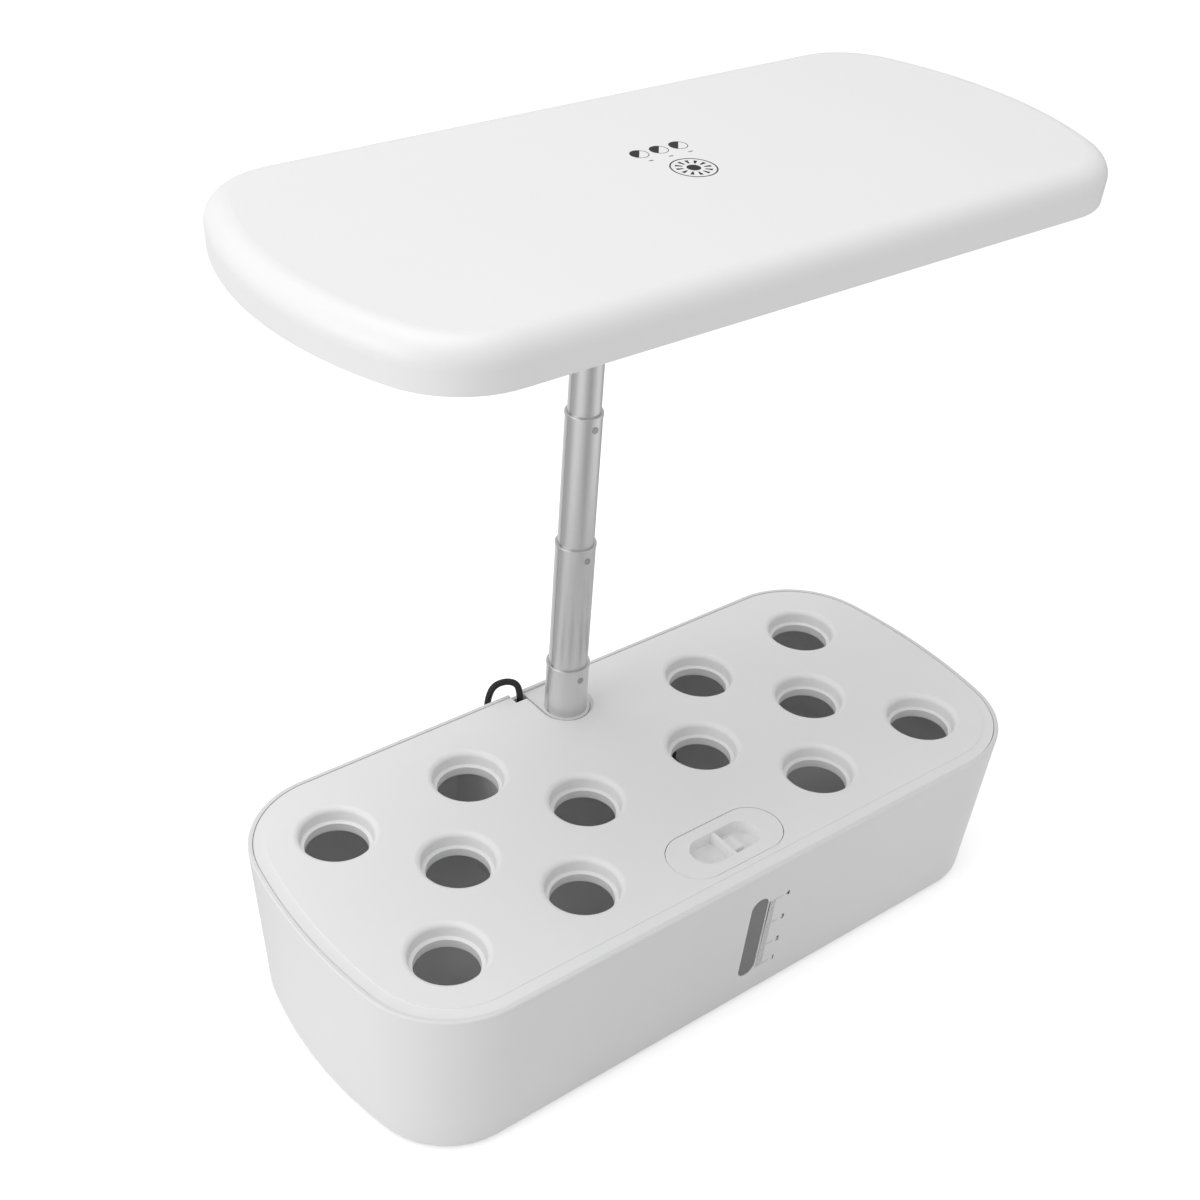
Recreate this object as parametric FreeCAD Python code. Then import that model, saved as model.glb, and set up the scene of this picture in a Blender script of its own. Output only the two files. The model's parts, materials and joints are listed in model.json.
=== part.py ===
import FreeCAD, Part
import math
import os
from FreeCAD import Vector

# Countertop hydroponic garden: a water tank in a white casing, a lift-off
# planting deck, a telescopic pole and a lamp hood. All lengths in millimetres.
# The origin is on the table under the middle of the hole pattern,
# +X runs along the casing, -Y is the front, +Z is up.

# Casing
casing_height = 89.7
foot_drop = 1.5
casing_wall = 2.3
rim_half_length = 197.3
rim_half_width = 88.7
rim_end_radius = 285.0
rim_corner_radius = 49.0
flare_x = 6.8
flare_y = 6.1
sole_end_radius = 226.0
sole_corner_radius = 41.0
sole_edge_round = 3.0
rim_edge_round = 0.9
lip_width = 8.0
lip_thickness = 2.0

# Base plate and feet
base_plate_thickness = 2.5
base_plate_rise = 0.5
foot_radius = 9.0
foot_inset_x = 40.5
foot_inset_y = 30.6
foot_edge_round = 0.8
screw_radius = 1.25
screw_head_radius = 2.6
screw_head_height = 1.4
slip = 0.3
screw_slip = 0.05
cross_width = 0.6
cross_share = 0.7
screw_side_share = 0.42
mount_screw_length = 8.0

# Water tank
tank_gap = 1.2
tank_wall = 2.0
tank_rise = 1.5
tank_floor_rise = 2.5
tank_pad_radius = 8.0
flange_thickness = 1.5
bay_left_gap = 10.0
bay_right_gap = 3.5
bay_front_gap = 11.9
bay_corner_radius = 6.0
bay_wall_drop = 15.0

# Level window in the front wall
window_x = 2.4
window_width = 10.8
window_top_margin = 19.0
window_low_margin = 16.7
window_recess = 0.4
window_thickness = 1.6
gasket_margin = 2.4

# Planting deck
deck_thickness = 3.0
deck_border = 6.0
deck_border_drop = 0.4
skirt_depth = 5.0
skirt_wall = 1.6
hole_end_margin = 47.3
hole_side_margin = 42.2
hole_mouth_taper = 0.6
hole_mouth_round = 3.0
hole_ledge_width = 1.7
hole_ledge_depth = 7.0
hole_ledge_slope = 0.6
hole_seat_radius = 15.3
hole_depth = 12.0
collar_wall = 2.2

# Refill cover
refill_x = -1.0
refill_edge_gap = 27.2
refill_length = 65.0
refill_width = 30.6
refill_gap = 0.35
refill_plate = 2.0
refill_seat_depth = 4.0
refill_hole_length = 46.0
refill_hole_width = 24.0
pocket_length = 39.0
pocket_width = 18.0
pocket_depth = 7.0
pocket_wall = 1.4
grip_width = 2.2
grip_drop = 1.2
grip_block_length = 8.0
grip_block_width = 9.0
grip_block_rise = 3.6

# Pole
pole_edge_gap = 22.3
tube_count = 4
tube_outer_radius = 11.0
tube_wall = 0.5
tube_play = 0.45
tube_lap = 20.0
first_ring_rise = 27.9
ring_step = 72.75
ring_height = 1.6
ring_proud = 0.3
sliding_fit = 0.05
groove_width = 1.8
groove_depth = 0.25
bush_length = 8.0
rivet_radius = 1.7
rivet_drop = 6.5
rivet_proud = 0.25
tube_1_bottom = 16.0

# Pole mount
mount_wall = 3.5
mount_back_gap = 0.7
mount_top_wall = 1.85
mount_screw_edge = 3.0
mount_screw_inset = 5.5
mount_top_drop = 1.2
mount_top_thickness = 6.0
deck_notch_gap = 0.35
notch_bevel = 2.0
notch_bevel_depth = 1.6

# Cord slot in the rear rim
cord_radius = 1.75
slot_width = 8.15
slot_reach = 8.2
slot_depth = 3.0

# Hood
hood_rise = 291.5
hood_height = 20.0
hood_half_length = 196.6
hood_half_width = 89.6
hood_end_radius = 165.0
hood_corner_radius = 42.0
hood_back_reach = 34.3
hood_top_round = 10.0
hood_draft = 1.0
hood_wall = 2.2
hood_base_recess = 0.8
hood_base_thickness = 2.0
hood_boss_radius = 3.6
light_end_margin = 36.6
light_front_margin = 24.5
light_pole_gap = 7.4
light_corner_radius = 14.0
cover_lap = 5.0
cover_thickness = 1.6
board_thickness = 1.6
board_rise = 6.0
board_screw_reach = 2.0
board_margin = 4.0
spreader_thickness = 1.5
led_columns = 12
led_rows = 5
led_margin_x = 18.0
led_margin_y = 17.0
led_size = 3.6
led_height = 0.9
post_radius = 3.2

# Controls in the hood top
touch_x = 1.7
touch_back_shift = 8.2
touch_board_length = 44.0
touch_board_width = 46.0
touch_board_thickness = 1.2
dash_length = 2.2
dash_width = 0.9
dash_pitch = 10.5
dash_back_shift = 12.1

# Driver board in the hood
driver_left = 60.0
driver_length = 90.0
driver_width = 40.0

# Pole socket in the hood
socket_wall = 4.35
socket_drop = 10.0
socket_flange_width = 6.5
socket_flange_thickness = 3.0
socket_depth = 10.0
wire_hole_radius = 4.0

# Pump
pump_side_gap = 9.0
pump_back_gap = 8.1
pump_length = 34.0
pump_width = 26.0
pump_height = 28.0
pump_stand = 3.0
pump_cover_depth = 9.0
pump_shell_wall = 2.0
rotor_radius = 6.0
rotor_length = 16.0
rotor_clearance = 0.6
blade_radius = 9.0
blade_length = 5.0
blade_count = 6
shaft_radius = 1.0
shaft_fit = 0.05
nozzle_radius = 4.5
nozzle_bore = 2.5
nozzle_height = 12.0
cup_radius = 5.0

# Sockets in the rear wall
socket_z = 24.0
supply_x = -45.0
lead_socket_x = -28.0
jack_flange_radius = 5.6
jack_flange_thickness = 1.2
jack_body_radius = 4.4
jack_body_length = 11.0
jack_bore_radius = 2.75
jack_bore_depth = 9.0
jack_pin_radius = 1.0
jack_proud = 0.27
plug_gap = 0.6
plug_half_width = 4.5
plug_depth = 8.6
plug_height = 15.0
relief_height = 10.0
relief_radius = 3.0

# Derived places
sole_half_length = rim_half_length - flare_x
sole_half_width = rim_half_width - flare_y
foot_reach_x = sole_half_length - foot_inset_x
foot_reach_y = sole_half_width - foot_inset_y
hole_pitch = (rim_half_length - hole_end_margin) / 4
hole_row_offset = rim_half_width - hole_side_margin
hole_throat_radius = hole_seat_radius + hole_ledge_width
hole_mouth_radius = hole_throat_radius + hole_mouth_taper
window_height = casing_height - window_top_margin - window_low_margin
window_drop = window_top_margin + window_height / 2
refill_y = refill_edge_gap - rim_half_width
pole_y = rim_half_width - pole_edge_gap
mount_radius = tube_outer_radius + mount_wall
mount_back_y = sole_half_width - casing_wall - mount_back_gap
mount_top_half_width = tube_outer_radius + mount_top_wall
slot_left = -mount_top_half_width - slot_width
slot_front = rim_half_width - slot_reach
bay_left = supply_x - bay_left_gap
bay_right = mount_radius + bay_right_gap
bay_front = pole_y - mount_radius - bay_front_gap
pump_x = bay_right + tank_wall + pump_side_gap + pump_length / 2
pump_y = sole_half_width - casing_wall - tank_gap - tank_wall - pump_back_gap - pump_width / 2
jack_face_y = (sole_half_width + flare_y * (socket_z - foot_drop) / casing_height
               + jack_proud - jack_flange_thickness)
top_tube_radius = tube_outer_radius - (tube_count - 1) * (tube_wall + tube_play)
socket_radius = top_tube_radius + socket_wall
socket_flange_radius = socket_radius + socket_flange_width
hood_y = pole_y + hood_back_reach - hood_half_width
light_half_length = hood_half_length - light_end_margin
light_front = hood_y - hood_half_width + light_front_margin
light_back = pole_y - socket_flange_radius - light_pole_gap
touch_y = hood_y + touch_back_shift
dash_y = hood_y + dash_back_shift

# Derived heights
sole_z = foot_drop
rim_z = sole_z + casing_height
plate_low = sole_z + base_plate_rise
plate_top = plate_low + base_plate_thickness
lip_top = plate_top + lip_thickness
tank_low = lip_top + tank_rise
deck_low = rim_z - deck_thickness
flange_low = deck_low - flange_thickness
tank_floor = tank_low + tank_floor_rise
hood_low = rim_z + hood_rise
hood_high = hood_low + hood_height
hood_base_low = hood_low + hood_base_recess
hood_base_top = hood_base_low + hood_base_thickness
board_low = hood_base_low + board_rise
board_top = board_low + board_thickness
tank_inset = casing_wall + tank_gap
skirt_inset = tank_inset + tank_wall + 0.5
far = 400.0


def save(node, *solids):
    """Write one node, whose pieces stay separate solids."""
    shape = solids[0] if len(solids) == 1 else Part.makeCompound(list(solids))
    shape.exportStep("parts/" + node + ".step")
    print(node, len(shape.Solids), round(shape.Volume, 1), shape.isValid())


def outline(half_length, half_width, end_radius, corner_radius, z, y=0.0):
    """Closed wire with bulged ends, round corners and straight long sides."""
    end_x = half_length - end_radius
    corner_y = half_width - corner_radius
    corner_x = end_x + math.sqrt((end_radius - corner_radius) ** 2 - corner_y ** 2)
    turn = math.atan2(corner_y, corner_x - end_x)
    middle = (turn + math.pi / 2) / 2
    tangent_x = end_x + end_radius * math.cos(turn)
    tangent_y = end_radius * math.sin(turn)
    knee_x = corner_x + corner_radius * math.cos(middle)
    knee_y = corner_y + corner_radius * math.sin(middle)

    def at(px, py):
        return Vector(px, y + py, z)

    edges = []
    for side in (1, -1):
        low = at(side * tangent_x, -side * tangent_y)
        tip = at(side * half_length, 0)
        high = at(side * tangent_x, side * tangent_y)
        knee = at(side * knee_x, side * knee_y)
        start = at(side * corner_x, side * half_width)
        finish = at(-side * corner_x, side * half_width)
        far_knee = at(-side * knee_x, side * knee_y)
        far_high = at(-side * tangent_x, side * tangent_y)
        edges.append(Part.Arc(low, tip, high).toShape())
        edges.append(Part.Arc(high, knee, start).toShape())
        edges.append(Part.LineSegment(start, finish).toShape())
        edges.append(Part.Arc(finish, far_knee, far_high).toShape())
    return Part.Wire(edges)


def casing_section(z, inset):
    """The casing's outline at one height, drawn in by inset."""
    rise = (z - sole_z) / casing_height
    length = sole_half_length + (rim_half_length - sole_half_length) * rise
    width = sole_half_width + (rim_half_width - sole_half_width) * rise
    end = sole_end_radius + (rim_end_radius - sole_end_radius) * rise
    corner = sole_corner_radius + (rim_corner_radius - sole_corner_radius) * rise
    return outline(length - inset, width - inset, end - inset, corner - inset, z)


def casing_solid(inset, low, high):
    """The casing's outer form between two heights, drawn in by inset."""
    return Part.makeLoft([casing_section(low, inset), casing_section(high, inset)], True, True)


def hood_section(z, inset):
    """The hood's outline at one height; the sides draw in towards the bottom."""
    fall = hood_draft * (hood_high - z) / hood_height
    drawn = inset + fall
    return outline(hood_half_length - drawn, hood_half_width - drawn, hood_end_radius - drawn,
                   hood_corner_radius - drawn, z, hood_y)


def hood_solid(inset, low, high):
    """The hood's outer form between two heights, drawn in by inset."""
    return Part.makeLoft([hood_section(low, inset), hood_section(high, inset)], True, True)


def box(x0, x1, y0, y1, z0, z1):
    """A box between two corners."""
    return Part.makeBox(x1 - x0, y1 - y0, z1 - z0, Vector(x0, y0, z0))


def rod(radius, low, high, x=0.0, y=0.0):
    """An upright round bar."""
    return Part.makeCylinder(radius, high - low, Vector(x, y, low))


def bar_y(radius, front, back, x, z):
    """A round bar along Y."""
    return Part.makeCylinder(radius, back - front, Vector(x, front, z), Vector(0, 1, 0))


def stadium(length, width, low, high, x, y):
    """An upright bar with two round ends, its length along X."""
    radius = width / 2
    reach = length / 2 - radius
    body = box(x - reach, x + reach, y - radius, y + radius, low, high)
    return body.fuse([rod(radius, low, high, x - reach, y), rod(radius, low, high, x + reach, y)]).removeSplitter()


def pill(width, height, front, back):
    """The level window's form along Y, its length along Z."""
    radius = width / 2
    reach = height / 2 - radius
    centre = rim_z - window_drop
    body = box(window_x - radius, window_x + radius, front, back, centre - reach, centre + reach)
    ends = [bar_y(radius, front, back, window_x, centre + side * reach) for side in (1, -1)]
    return body.fuse(ends).removeSplitter()


def level_edges(shape, z):
    """The edges that lie at one height."""
    return [e for e in shape.Edges if abs(e.BoundBox.ZMin - z) < 0.01 and abs(e.BoundBox.ZMax - z) < 0.01]


def round_box(x0, x1, y0, y1, z0, z1, radius):
    """A box whose upright edges are round."""
    body = box(x0, x1, y0, y1, z0, z1)
    upright = [e for e in body.Edges if e.BoundBox.ZLength > (z1 - z0) / 2]
    return body.makeFillet(radius, upright)


def ring_places(inset_x, inset_y, half_length, half_width, y=0.0):
    """Eight screw places: two near each end and two on each long side."""
    places = []
    for side_x in (1, -1):
        for side_y in (1, -1):
            places.append((side_x * (half_length - inset_x), y + side_y * half_width * screw_side_share))
            places.append((side_x * half_length * screw_side_share, y + side_y * (half_width - inset_y)))
    return places


def screw(x, y, head_low, tip):
    """A flat-headed screw seen from below, its head at the bottom."""
    head = Part.makeCone(screw_head_radius, screw_radius, screw_head_height, Vector(x, y, head_low))
    shank = rod(screw_radius, head_low + screw_head_height / 2, tip, x, y)
    reach = screw_head_radius * cross_share
    half = cross_width / 2
    slot = box(x - reach, x + reach, y - half, y + half, head_low, head_low + cross_width)
    cross = box(x - half, x + half, y - reach, y + reach, head_low, head_low + cross_width)
    return head.fuse(shank).cut([slot, cross])


def screw_hole(x, y, head_low, tip):
    """The hole that a flat-headed screw needs."""
    head = Part.makeCone(screw_head_radius + screw_slip, screw_radius + screw_slip, screw_head_height,
                         Vector(x, y, head_low))
    mouth = rod(screw_head_radius + screw_slip, head_low - 5, head_low, x, y)
    shank = rod(screw_radius + screw_slip, head_low, tip + 0.3, x, y)
    return head.fuse([mouth, shank])


base_screw_places = ring_places(lip_width, lip_width, sole_half_length, sole_half_width)
foot_places = [(column * foot_reach_x, row * foot_reach_y) for column in (-1, 0, 1) for row in (-1, 1)]
foot_places.append((0.0, 0.0))


def make_casing():
    """Outer casing: a skirt with a rim, an inner bottom lip and the window slot."""
    form = casing_solid(0, sole_z, rim_z)
    form = form.makeFillet(sole_edge_round, level_edges(form, sole_z))
    form = form.makeFillet(rim_edge_round, level_edges(form, rim_z))
    inside = casing_solid(casing_wall, lip_top, rim_z + 1)
    mouth = casing_solid(casing_wall + lip_width, sole_z - 1, lip_top + 1)
    seat = casing_solid(casing_wall, sole_z - 1, plate_top)
    shell = form.cut([inside, mouth, seat])
    window = pill(window_width, window_height, -far, 0)
    slot = box(slot_left, -mount_top_half_width, slot_front, far, rim_z - slot_depth, rim_z + 5)
    shell = shell.cut([window, slot])
    for x in (supply_x, lead_socket_x):
        spot = bar_y(jack_flange_radius + slip, jack_face_y, far, x, socket_z)
        barrel = bar_y(jack_body_radius + slip, pole_y, far, x, socket_z)
        shell = shell.cut([spot, barrel])
    foot_room = casing_solid(casing_wall, plate_top - 1, lip_top + 1)
    foot_room = foot_room.common(box(-mount_radius - slip, mount_radius + slip, 0, far, 0, rim_z))
    holes = [screw_hole(x, y, plate_low, lip_top) for x, y in base_screw_places]
    return shell.cut([foot_room] + holes)


def make_base_plate():
    """Flat plate that closes the casing from below."""
    plate = casing_solid(casing_wall + slip, plate_low, plate_top)
    holes = [screw_hole(x, y, plate_low, lip_top) for x, y in base_screw_places]
    holes += [screw_hole(x, y, plate_low, plate_top + mount_screw_length) for x, y in mount_screw_places()]
    return plate.cut(holes)


def make_feet():
    """Rubber feet under the base plate."""
    feet = []
    for x, y in foot_places:
        foot = rod(foot_radius, 0, plate_low, x, y)
        feet.append(foot.makeFillet(foot_edge_round, level_edges(foot, 0)))
    return feet


def bay_block(grow):
    """The dry bay round the pole mount and the sockets, grown by a wall."""
    return round_box(bay_left - grow, bay_right + grow, bay_front - grow, far, -10, rim_z + 10,
                     bay_corner_radius + grow)


def make_tank():
    """Grey water tank that stands on the base plate inside the casing."""
    form = casing_solid(tank_inset, tank_low, deck_low)
    form = form.makeFillet(sole_edge_round, level_edges(form, tank_low))
    flange = casing_solid(casing_wall + slip, flange_low, deck_low)
    inside = casing_solid(tank_inset + tank_wall, tank_floor, deck_low + 1)
    inside = inside.makeFillet(sole_edge_round, level_edges(inside, tank_floor))
    wet = inside.cut(bay_block(tank_wall))
    pads = [rod(tank_pad_radius, plate_top, tank_low + 1, x, y) for x, y in foot_places if y < 0]
    pads += [rod(tank_pad_radius, plate_top, tank_low + 1, side * foot_reach_x, foot_reach_y) for side in (1, -1)]
    tank = form.fuse([flange] + pads).cut([wet, bay_block(0)])
    over = box(bay_left - 12, bay_right + 12, bay_front - 12, far, rim_z - bay_wall_drop, rim_z + 10)
    return tank.cut(over).removeSplitter()


def make_window():
    """Clear lens in the window slot and the seal behind it."""
    slot = pill(window_width - 2 * screw_slip, window_height - 2 * screw_slip, -far, 0)
    skin = casing_solid(window_recess, sole_z + 2, rim_z - 2)
    skin = skin.cut(casing_solid(window_recess + window_thickness, sole_z + 1, rim_z - 1))
    seal_skin = casing_solid(casing_wall, sole_z + 8, rim_z - 8)
    seal_skin = seal_skin.cut(casing_solid(casing_wall + tank_gap - 0.1, sole_z + 7, rim_z - 7))
    seal = pill(window_width + 2 * gasket_margin, window_height + 2 * gasket_margin, -far, 0)
    seal = seal.cut(pill(window_width, window_height, -far, 0))
    return slot.common(skin), seal.common(seal_skin)


def hole_places():
    """Twelve holes in three staggered rows."""
    places = []
    for side in (1, -1):
        for column in (1, 3):
            places.append((side * column * hole_pitch, 0.0))
        for column in (2, 4):
            places.append((side * column * hole_pitch, hole_row_offset))
            places.append((side * column * hole_pitch, -hole_row_offset))
    return places


def hole_cutter(x, y):
    """The inside of one plant socket: round mouth, throat, ledge and seat."""
    top = rim_z
    knee = hole_mouth_round * (1 - math.sqrt(0.5))
    a = Vector(0, 0, top + 1)
    b = Vector(hole_mouth_radius + hole_mouth_round, 0, top + 1)
    c = Vector(hole_mouth_radius + hole_mouth_round, 0, top)
    d = Vector(hole_mouth_radius + knee, 0, top - knee)
    e = Vector(hole_mouth_radius, 0, top - hole_mouth_round)
    f = Vector(hole_throat_radius, 0, top - hole_ledge_depth)
    g = Vector(hole_seat_radius, 0, top - hole_ledge_depth - hole_ledge_slope)
    h = Vector(hole_seat_radius, 0, top - hole_depth - 5)
    i = Vector(0, 0, top - hole_depth - 5)
    lines = [Part.LineSegment(p, q).toShape() for p, q in ((a, b), (b, c), (e, f), (f, g), (g, h), (h, i), (i, a))]
    lines.insert(2, Part.Arc(c, d, e).toShape())
    face = Part.Face(Part.Wire(lines))
    cutter = face.revolve(Vector(0, 0, 0), Vector(0, 0, 1), 360)
    cutter.translate(Vector(x, y, 0))
    return cutter


def notch_form(half_width, low, high, grow=0.0):
    """The U round the pole, open to the rear, wider by grow at its top."""
    wires = []
    for width, z in ((half_width, low), (half_width + grow, high)):
        front = Vector(0, pole_y - width, z)
        left = Vector(-width, pole_y, z)
        right = Vector(width, pole_y, z)
        back_left = Vector(-width, far, z)
        back_right = Vector(width, far, z)
        edges = [Part.Arc(left, front, right).toShape()]
        for p, q in ((right, back_right), (back_right, back_left), (back_left, left)):
            edges.append(Part.LineSegment(p, q).toShape())
        wires.append(Part.Wire(edges))
    return Part.makeLoft(wires, True, True)


def make_deck():
    """Planting deck: a plate with twelve collars, a skirt and the refill seat."""
    plate = casing_solid(casing_wall + slip, deck_low, rim_z)
    step = casing_solid(casing_wall - 1, rim_z - deck_border_drop, rim_z + 1)
    step = step.cut(casing_solid(casing_wall + deck_border, rim_z - deck_border_drop - 1, rim_z + 2))
    skirt = casing_solid(skirt_inset, deck_low - skirt_depth, deck_low)
    skirt = skirt.cut(casing_solid(skirt_inset + skirt_wall, deck_low - skirt_depth - 1, deck_low + 1))
    skirt = skirt.cut(box(bay_left - 8, bay_right + 8, 0, far, 0, rim_z))
    collar_radius = hole_mouth_radius + collar_wall
    collars = [rod(collar_radius, rim_z - hole_depth, deck_low + 1, x, y) for x, y in hole_places()]
    seat = stadium(refill_length + 4, refill_width + 4, rim_z - refill_seat_depth - 2, deck_low + 1,
                   refill_x, refill_y)
    deck = plate.cut(step).fuse([skirt, seat] + collars)
    cutters = [hole_cutter(x, y) for x, y in hole_places()]
    cover = stadium(refill_length + 2 * refill_gap, refill_width + 2 * refill_gap,
                    rim_z - refill_plate - 0.05, rim_z + 1, refill_x, refill_y)
    refill = stadium(refill_hole_length, refill_hole_width, rim_z - 20, rim_z + 1, refill_x, refill_y)
    half_notch = mount_top_half_width + deck_notch_gap
    notch = notch_form(half_notch, rim_z - 20, rim_z + 5)
    bevel = notch_form(half_notch, rim_z - notch_bevel_depth, rim_z + 0.2, notch_bevel)
    slot = box(slot_left, 0, slot_front, far, rim_z - 20, rim_z + 5)
    return deck.cut(cutters + [cover, refill, notch, bevel, slot]).removeSplitter()


def make_refill_cover():
    """Lift-out cover with a finger pocket, a cross bar and a stepped block."""
    plate = stadium(refill_length, refill_width, rim_z - refill_plate, rim_z, refill_x, refill_y)
    plate = plate.makeFillet(0.4, level_edges(plate, rim_z))
    tub = stadium(pocket_length + 2 * pocket_wall, pocket_width + 2 * pocket_wall,
                  rim_z - pocket_depth - pocket_wall, rim_z - refill_plate / 2, refill_x, refill_y)
    pocket = stadium(pocket_length, pocket_width, rim_z - pocket_depth, rim_z + 1, refill_x, refill_y)
    half_width = pocket_width / 2
    bar = box(refill_x - grip_width / 2, refill_x + grip_width / 2, refill_y - half_width,
              refill_y + half_width, rim_z - pocket_depth - 0.5, rim_z - grip_drop)
    block_start = refill_x + grip_width / 2 - 0.5
    block = box(block_start, block_start + grip_block_length, refill_y - grip_block_width / 2,
                refill_y + grip_block_width / 2, rim_z - pocket_depth - 0.5, rim_z - pocket_depth + grip_block_rise)
    return plate.fuse(tub).cut(pocket).fuse([bar, block]).removeSplitter()


def mount_screw_places():
    """Two screws hold the pole mount from below."""
    return [(side * (mount_radius - mount_screw_edge), mount_back_y - mount_screw_inset) for side in (-1, 1)]


def make_mount():
    """Pole mount: an upright column with a bore for the lowest tube."""
    column = rod(mount_radius, plate_top, rim_z - mount_top_thickness, 0, pole_y)
    column = column.common(box(-far, far, 0, mount_back_y, 0, far))
    back = box(-mount_radius, mount_radius, pole_y, mount_back_y, plate_top, rim_z - mount_top_thickness)
    top = notch_form(mount_top_half_width, rim_z - mount_top_thickness - 1, rim_z - mount_top_drop)
    top = top.common(casing_solid(casing_wall + slip, rim_z - 20, rim_z))
    bore = rod(tube_outer_radius + screw_slip, tube_1_bottom, rim_z + 5, 0, pole_y)
    floor_bore = rod(tube_outer_radius - 3, plate_top - 1, rim_z, 0, pole_y)
    mount = column.fuse([back, top]).cut([bore, floor_bore])
    holes = [screw_hole(x, y, plate_low, plate_top + mount_screw_length) for x, y in mount_screw_places()]
    return mount.cut(holes).removeSplitter()


def tube_radius(number):
    """Outer radius of one tube, the lowest being number 1."""
    return tube_outer_radius - (number - 1) * (tube_wall + tube_play)


def ring_z(number):
    """Height of one tube's mouth."""
    return rim_z + first_ring_rise + (number - 1) * ring_step


def make_tube(number, low, high, mouth):
    """One tube with its guide groove; a mouth is rolled in onto the next tube."""
    outer = tube_radius(number)
    tube = rod(outer, low, high, 0, pole_y).cut(rod(outer - tube_wall, low - 1, high + 1, 0, pole_y))
    inner_tube = rod(tube_radius(number + 1) + sliding_fit, low - 1, high + 1, 0, pole_y)
    if mouth:
        bead = rod(outer + ring_proud, high - ring_height, high, 0, pole_y)
        bead = bead.makeFillet(ring_proud * 0.9, level_edges(bead, high))
        tube = tube.fuse(bead.cut(inner_tube))
    groove = box(-outer - 1, -outer + groove_depth, pole_y - groove_width / 2, pole_y + groove_width / 2,
                 low - 1, high - (ring_height if mouth else -1))
    tube = tube.cut(groove)
    if mouth:
        reach = tube_radius(number + 1)
        key = box(-reach - 0.3, -reach + groove_depth - 0.1, pole_y - groove_width / 2 + 0.1,
                  pole_y + groove_width / 2 - 0.1, high - ring_height, high - 0.3)
        tube = tube.fuse(key)
        tube = tube.cut(rivet_form(number, 0.0))
    return tube.removeSplitter()


def rivet_form(number, proud):
    """The round stop rivet near one tube's mouth, on its front."""
    outer = tube_radius(number)
    z = ring_z(number) - rivet_drop
    front = pole_y - outer - proud
    back = pole_y - outer + tube_wall + tube_play - sliding_fit * 2
    rivet = bar_y(rivet_radius, front, back, 0, z)
    passing = rod(tube_radius(number + 1) + rivet_proud + sliding_fit * 2, z - 5, z + 5, 0, pole_y)
    return rivet.cut(passing)


def make_bush(number, low):
    """Guide bush round the lower end of a sliding tube."""
    outer = tube_radius(number - 1) - tube_wall - sliding_fit
    bush = rod(outer, low, low + bush_length, 0, pole_y)
    key = box(-tube_radius(number) - 1, -tube_radius(number) + groove_depth, pole_y - groove_width / 2,
              pole_y + groove_width / 2, low - 1, low + bush_length + 1)
    return bush.cut([rod(tube_radius(number), low - 1, low + bush_length + 1, 0, pole_y), key])


def make_pole():
    """Four tubes; each slides in the one below."""
    for number in range(1, tube_count + 1):
        last = number == tube_count
        low = tube_1_bottom if number == 1 else ring_z(number - 1) - tube_lap
        high = hood_base_low + socket_depth if last else ring_z(number)
        save("tube_%d" % number, make_tube(number, low, high, not last))
        if not last:
            save("tube_%d_rivet" % number, rivet_form(number, rivet_proud))
        if number > 1:
            save("tube_%d_bush" % number, make_bush(number, low))


def jack(x):
    """A round socket with a flange outside and a centre pin in its bore."""
    flange = bar_y(jack_flange_radius, jack_face_y, jack_face_y + jack_flange_thickness, x, socket_z)
    body = bar_y(jack_body_radius, jack_face_y - jack_body_length, jack_face_y + 0.1, x, socket_z)
    bore = bar_y(jack_bore_radius, jack_face_y + jack_flange_thickness - jack_bore_depth,
                 jack_face_y + jack_flange_thickness + 1, x, socket_z)
    pin = bar_y(jack_pin_radius, jack_face_y - jack_bore_depth, jack_face_y - 0.5, x, socket_z)
    return flange.fuse(body).cut(bore).fuse(pin)


def make_jack_board():
    """Small board behind the two sockets, standing on the base plate."""
    back = jack_face_y - jack_body_length
    low = plate_top
    board = box(supply_x - 8, lead_socket_x + 7, back - board_thickness, back, low, socket_z + 14)
    return board


def make_plug():
    """Right-angled plug of the pump lead, with its tapered relief on top."""
    front = jack_face_y + jack_flange_thickness + plug_gap
    x = lead_socket_x
    body = box(x - plug_half_width, x + plug_half_width, front, front + plug_depth,
               socket_z - 6.5, socket_z - 6.5 + plug_height)
    body = body.makeFillet(1.5, [e for e in body.Edges if e.BoundBox.YMax > front + 0.5])
    barrel = bar_y(jack_bore_radius - sliding_fit, front - jack_bore_depth + 1.5, front + 1, x, socket_z)
    hollow = bar_y(jack_pin_radius + sliding_fit, front - jack_bore_depth, front - 0.5, x, socket_z)
    relief = Part.makeCone(relief_radius, cord_radius + 0.25, relief_height, Vector(x, plug_y(), plug_top() - 0.2))
    return body.fuse([barrel, relief]).cut(hollow)


def plug_y():
    """The plug's cord outlet, in Y."""
    return jack_face_y + jack_flange_thickness + plug_gap + plug_depth / 2


def plug_top():
    """Top of the plug's body."""
    return socket_z - 6.5 + plug_height


def pump_faces():
    """Front of the pump's body and the height of its axis."""
    return pump_y - pump_width / 2, tank_floor + pump_stand + pump_height / 2


def nozzle_x():
    """The outlet's place, inside the blade chamber's side."""
    return pump_x + blade_radius - nozzle_bore - 1.0


def pump_ring(low, high):
    """Rounded block of the pump's outline between two Y planes."""
    base = tank_floor + pump_stand
    body = box(pump_x - pump_length / 2, pump_x + pump_length / 2, low, high, base, base + pump_height)
    along = [e for e in body.Edges if e.BoundBox.YLength > (high - low) / 2]
    return body.makeFillet(4.0, along)


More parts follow.
